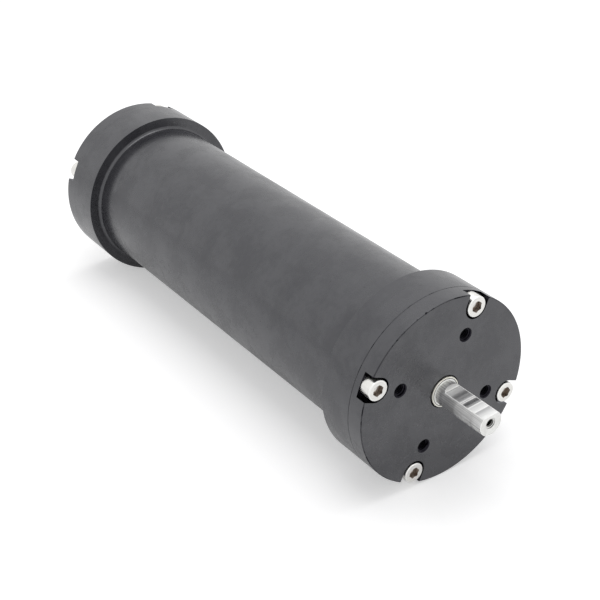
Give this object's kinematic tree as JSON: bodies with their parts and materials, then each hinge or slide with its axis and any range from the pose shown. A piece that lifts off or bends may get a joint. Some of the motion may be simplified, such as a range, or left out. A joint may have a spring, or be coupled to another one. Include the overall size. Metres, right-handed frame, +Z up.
{
  "type": "underwater gear motor",
  "caption": "Sealed round gear motor with a D-cut output shaft, a flanged face with tapped mounting holes and an inner motor and planetary gearbox.",
  "frame": {"origin": "centre of the front face, on the axis of the output shaft", "axes": "+X out of the front face along the output shaft, +Z up as in the picture"},
  "size_m": [0.3313, 0.093, 0.093],
  "materials": {
    "anodised_black": "satin black hard anodised",
    "stainless_screw": "bright stainless steel",
    "stainless_shaft": "fine turned stainless steel",
    "black_rubber": "matte nitrile rubber",
    "gland_metal": "nickel plated",
    "plain_aluminium": "turned",
    "black_steel_screw": "blackened steel",
    "bearing_steel": "ground",
    "gear_steel": "hobbed and hardened",
    "bronze": "bronze",
    "zinc_plated_steel": "zinc plated",
    "ferrite_magnet": "ground ferrite",
    "lamination_steel": "stacked sheet",
    "copper": "varnished copper",
    "insulation": "moulded phenolic",
    "carbon": "pressed carbon"
  },
  "bodies": {
    "housing": {"bearing_spacer": "bearing_steel", "bearing_spring_washer": "bearing_steel", "brush_holder": "insulation", "brush_springs": "bearing_steel", "carbon_brushes": "carbon", "cover_o_rings": "black_rubber", "field_magnets": "ferrite_magnet", "front_bearing_outer_ring": "bearing_steel", "front_cover": "anodised_black", "front_cover_screws": "stainless_screw", "gearbox_flange_screws": "black_steel_screw", "gearbox_output_housing": "plain_aluminium", "gearbox_tie_screws": "black_steel_screw", "gland_body": "gland_metal", "gland_dome_nut": "gland_metal", "gland_face_seal": "black_rubber", "gland_rubber_insert": "black_rubber", "housing_retaining_ring": "bearing_steel", "housing_tube": "anodised_black", "motor_adapter_plate": "plain_aluminium", "motor_bearing_outer_rings": "bearing_steel", "motor_can": "zinc_plated_steel", "motor_face_screws": "black_steel_screw", "motor_front_bell": "plain_aluminium", "motor_rear_bell": "plain_aluminium", "motor_support_ring": "plain_aluminium", "motor_through_bolts": "black_steel_screw", "rear_bearing_outer_ring": "bearing_steel", "rear_cover": "anodised_black", "rear_cover_screws": "stainless_screw", "ring_gear_housing": "gear_steel", "shaft_lip_seals": "black_rubber", "support_rubber_ring": "black_rubber"},
    "output": {"output_shaft": "stainless_shaft", "front_bearing_inner_ring": "bearing_steel", "rear_bearing_inner_ring": "bearing_steel", "inner_ring_spacer": "bearing_steel", "shaft_retaining_ring": "bearing_steel", "shaft_shim": "bearing_steel", "stage_2_planet_pins": "gear_steel", "stage_2_thrust_washers": "bronze"},
    "first_carrier": {"stage_1_carrier": "gear_steel", "stage_2_sun_gear": "gear_steel", "stage_1_planet_pins": "gear_steel", "stage_1_thrust_washers": "bronze"},
    "armature": {"armature_shaft": "gear_steel", "armature_core": "lamination_steel", "armature_windings": "copper", "commutator_hub": "insulation", "commutator_segments": "copper", "motor_bearing_inner_rings": "bearing_steel", "stage_1_sun_gear": "gear_steel"},
    "stage_1_planet_1": {"stage_1_planet_gear_1": "gear_steel"},
    "stage_1_planet_2": {"stage_1_planet_gear_2": "gear_steel"},
    "stage_1_planet_3": {"stage_1_planet_gear_3": "gear_steel"},
    "stage_2_planet_1": {"stage_2_planet_gear_1": "gear_steel"},
    "stage_2_planet_2": {"stage_2_planet_gear_2": "gear_steel"},
    "stage_2_planet_3": {"stage_2_planet_gear_3": "gear_steel"}
  },
  "joints": [
    {"name": "output_spin", "type": "hinge", "parent": "housing", "child": "output", "pos_m": [0, 0, 0], "axis": [1, 0, 0], "continuous": true},
    {"name": "first_carrier_spin", "type": "hinge", "parent": "housing", "child": "first_carrier", "pos_m": [-0.0653, 0, 0], "axis": [1, 0, 0], "continuous": true},
    {"name": "armature_spin", "type": "hinge", "parent": "housing", "child": "armature", "pos_m": [-0.13, 0, 0], "axis": [1, 0, 0], "continuous": true},
    {"name": "stage_2_planet_1_spin", "type": "hinge", "parent": "output", "child": "stage_2_planet_1", "pos_m": [-0.0552, 0.0135, 0], "axis": [1, 0, 0], "continuous": true},
    {"name": "stage_2_planet_2_spin", "type": "hinge", "parent": "output", "child": "stage_2_planet_2", "pos_m": [-0.0552, -0.00675, 0.01169], "axis": [1, 0, 0], "continuous": true},
    {"name": "stage_2_planet_3_spin", "type": "hinge", "parent": "output", "child": "stage_2_planet_3", "pos_m": [-0.0552, -0.00675, -0.01169], "axis": [1, 0, 0], "continuous": true},
    {"name": "stage_1_planet_1_spin", "type": "hinge", "parent": "first_carrier", "child": "stage_1_planet_1", "pos_m": [-0.0724, 0.0135, 0], "axis": [1, 0, 0], "continuous": true},
    {"name": "stage_1_planet_2_spin", "type": "hinge", "parent": "first_carrier", "child": "stage_1_planet_2", "pos_m": [-0.0724, -0.00675, 0.01169], "axis": [1, 0, 0], "continuous": true},
    {"name": "stage_1_planet_3_spin", "type": "hinge", "parent": "first_carrier", "child": "stage_1_planet_3", "pos_m": [-0.0724, -0.00675, -0.01169], "axis": [1, 0, 0], "continuous": true}
  ],
  "couplings": [
    {"joint": "first_carrier_spin", "follows": "output_spin", "ratio": 4.5},
    {"joint": "armature_spin", "follows": "output_spin", "ratio": 20.25},
    {"joint": "stage_2_planet_1_spin", "follows": "output_spin", "ratio": -2.8},
    {"joint": "stage_2_planet_2_spin", "follows": "output_spin", "ratio": -2.8},
    {"joint": "stage_2_planet_3_spin", "follows": "output_spin", "ratio": -2.8},
    {"joint": "stage_1_planet_1_spin", "follows": "output_spin", "ratio": -12.6},
    {"joint": "stage_1_planet_2_spin", "follows": "output_spin", "ratio": -12.6},
    {"joint": "stage_1_planet_3_spin", "follows": "output_spin", "ratio": -12.6}
  ]
}
